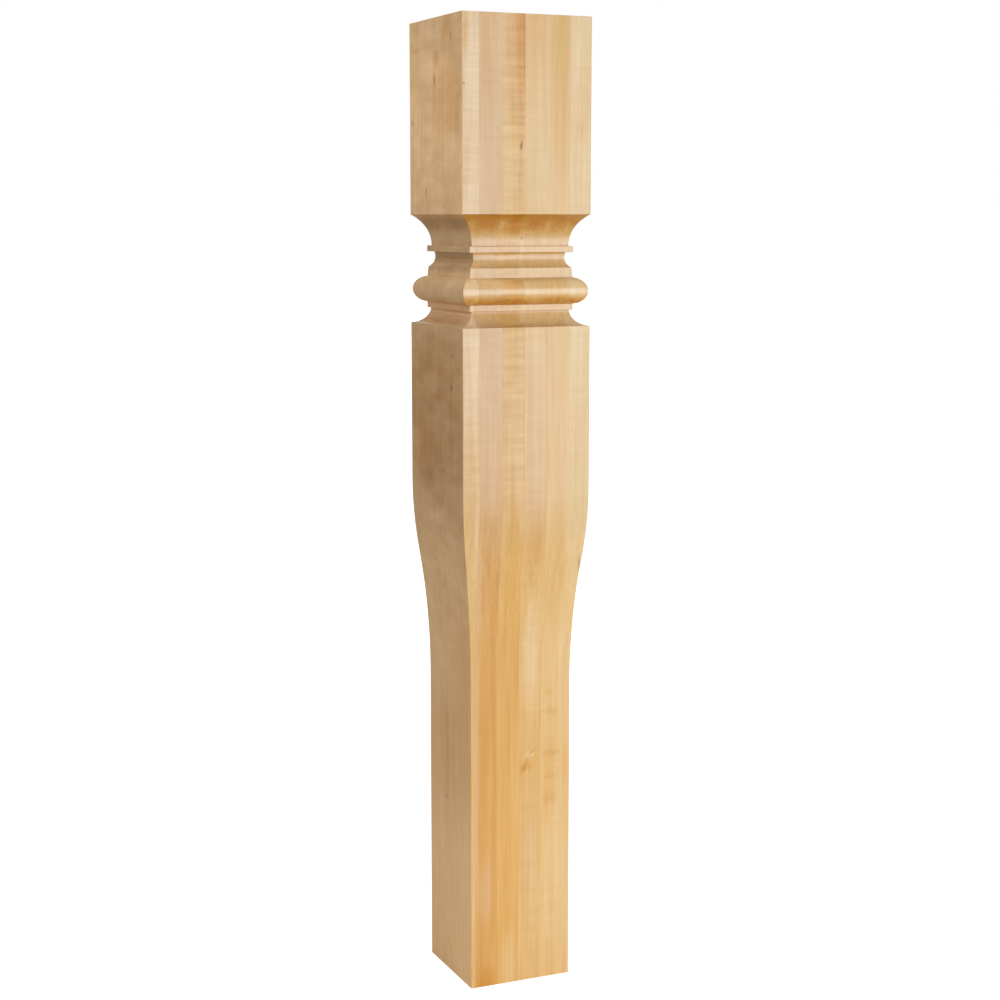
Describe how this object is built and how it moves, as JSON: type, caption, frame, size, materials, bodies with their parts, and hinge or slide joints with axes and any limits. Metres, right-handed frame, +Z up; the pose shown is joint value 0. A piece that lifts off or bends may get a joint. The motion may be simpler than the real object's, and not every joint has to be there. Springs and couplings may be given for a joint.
{
  "type": "kitchen island post",
  "caption": "Square laminated maple post with coved and beaded neck mouldings, square blocks and a long tapered shaft.",
  "frame": {"origin": "centre of the flat foot", "axes": "+Z up along the post, -Y the front with the boards' edges, -X the broad face of the first board"},
  "size_m": [0.127, 0.127, 0.9017],
  "materials": {
    "pale_maple": "bare sanded hard maple, pale sapwood",
    "rosy_maple": "bare sanded hard maple, slightly pink",
    "golden_maple": "bare sanded hard maple, straw to gold"
  },
  "bodies": {
    "root": {"board_1": "pale_maple", "board_2": "rosy_maple", "board_3": "golden_maple", "board_4": "rosy_maple", "board_5": "golden_maple", "board_6": "pale_maple"}
  },
  "joints": []
}
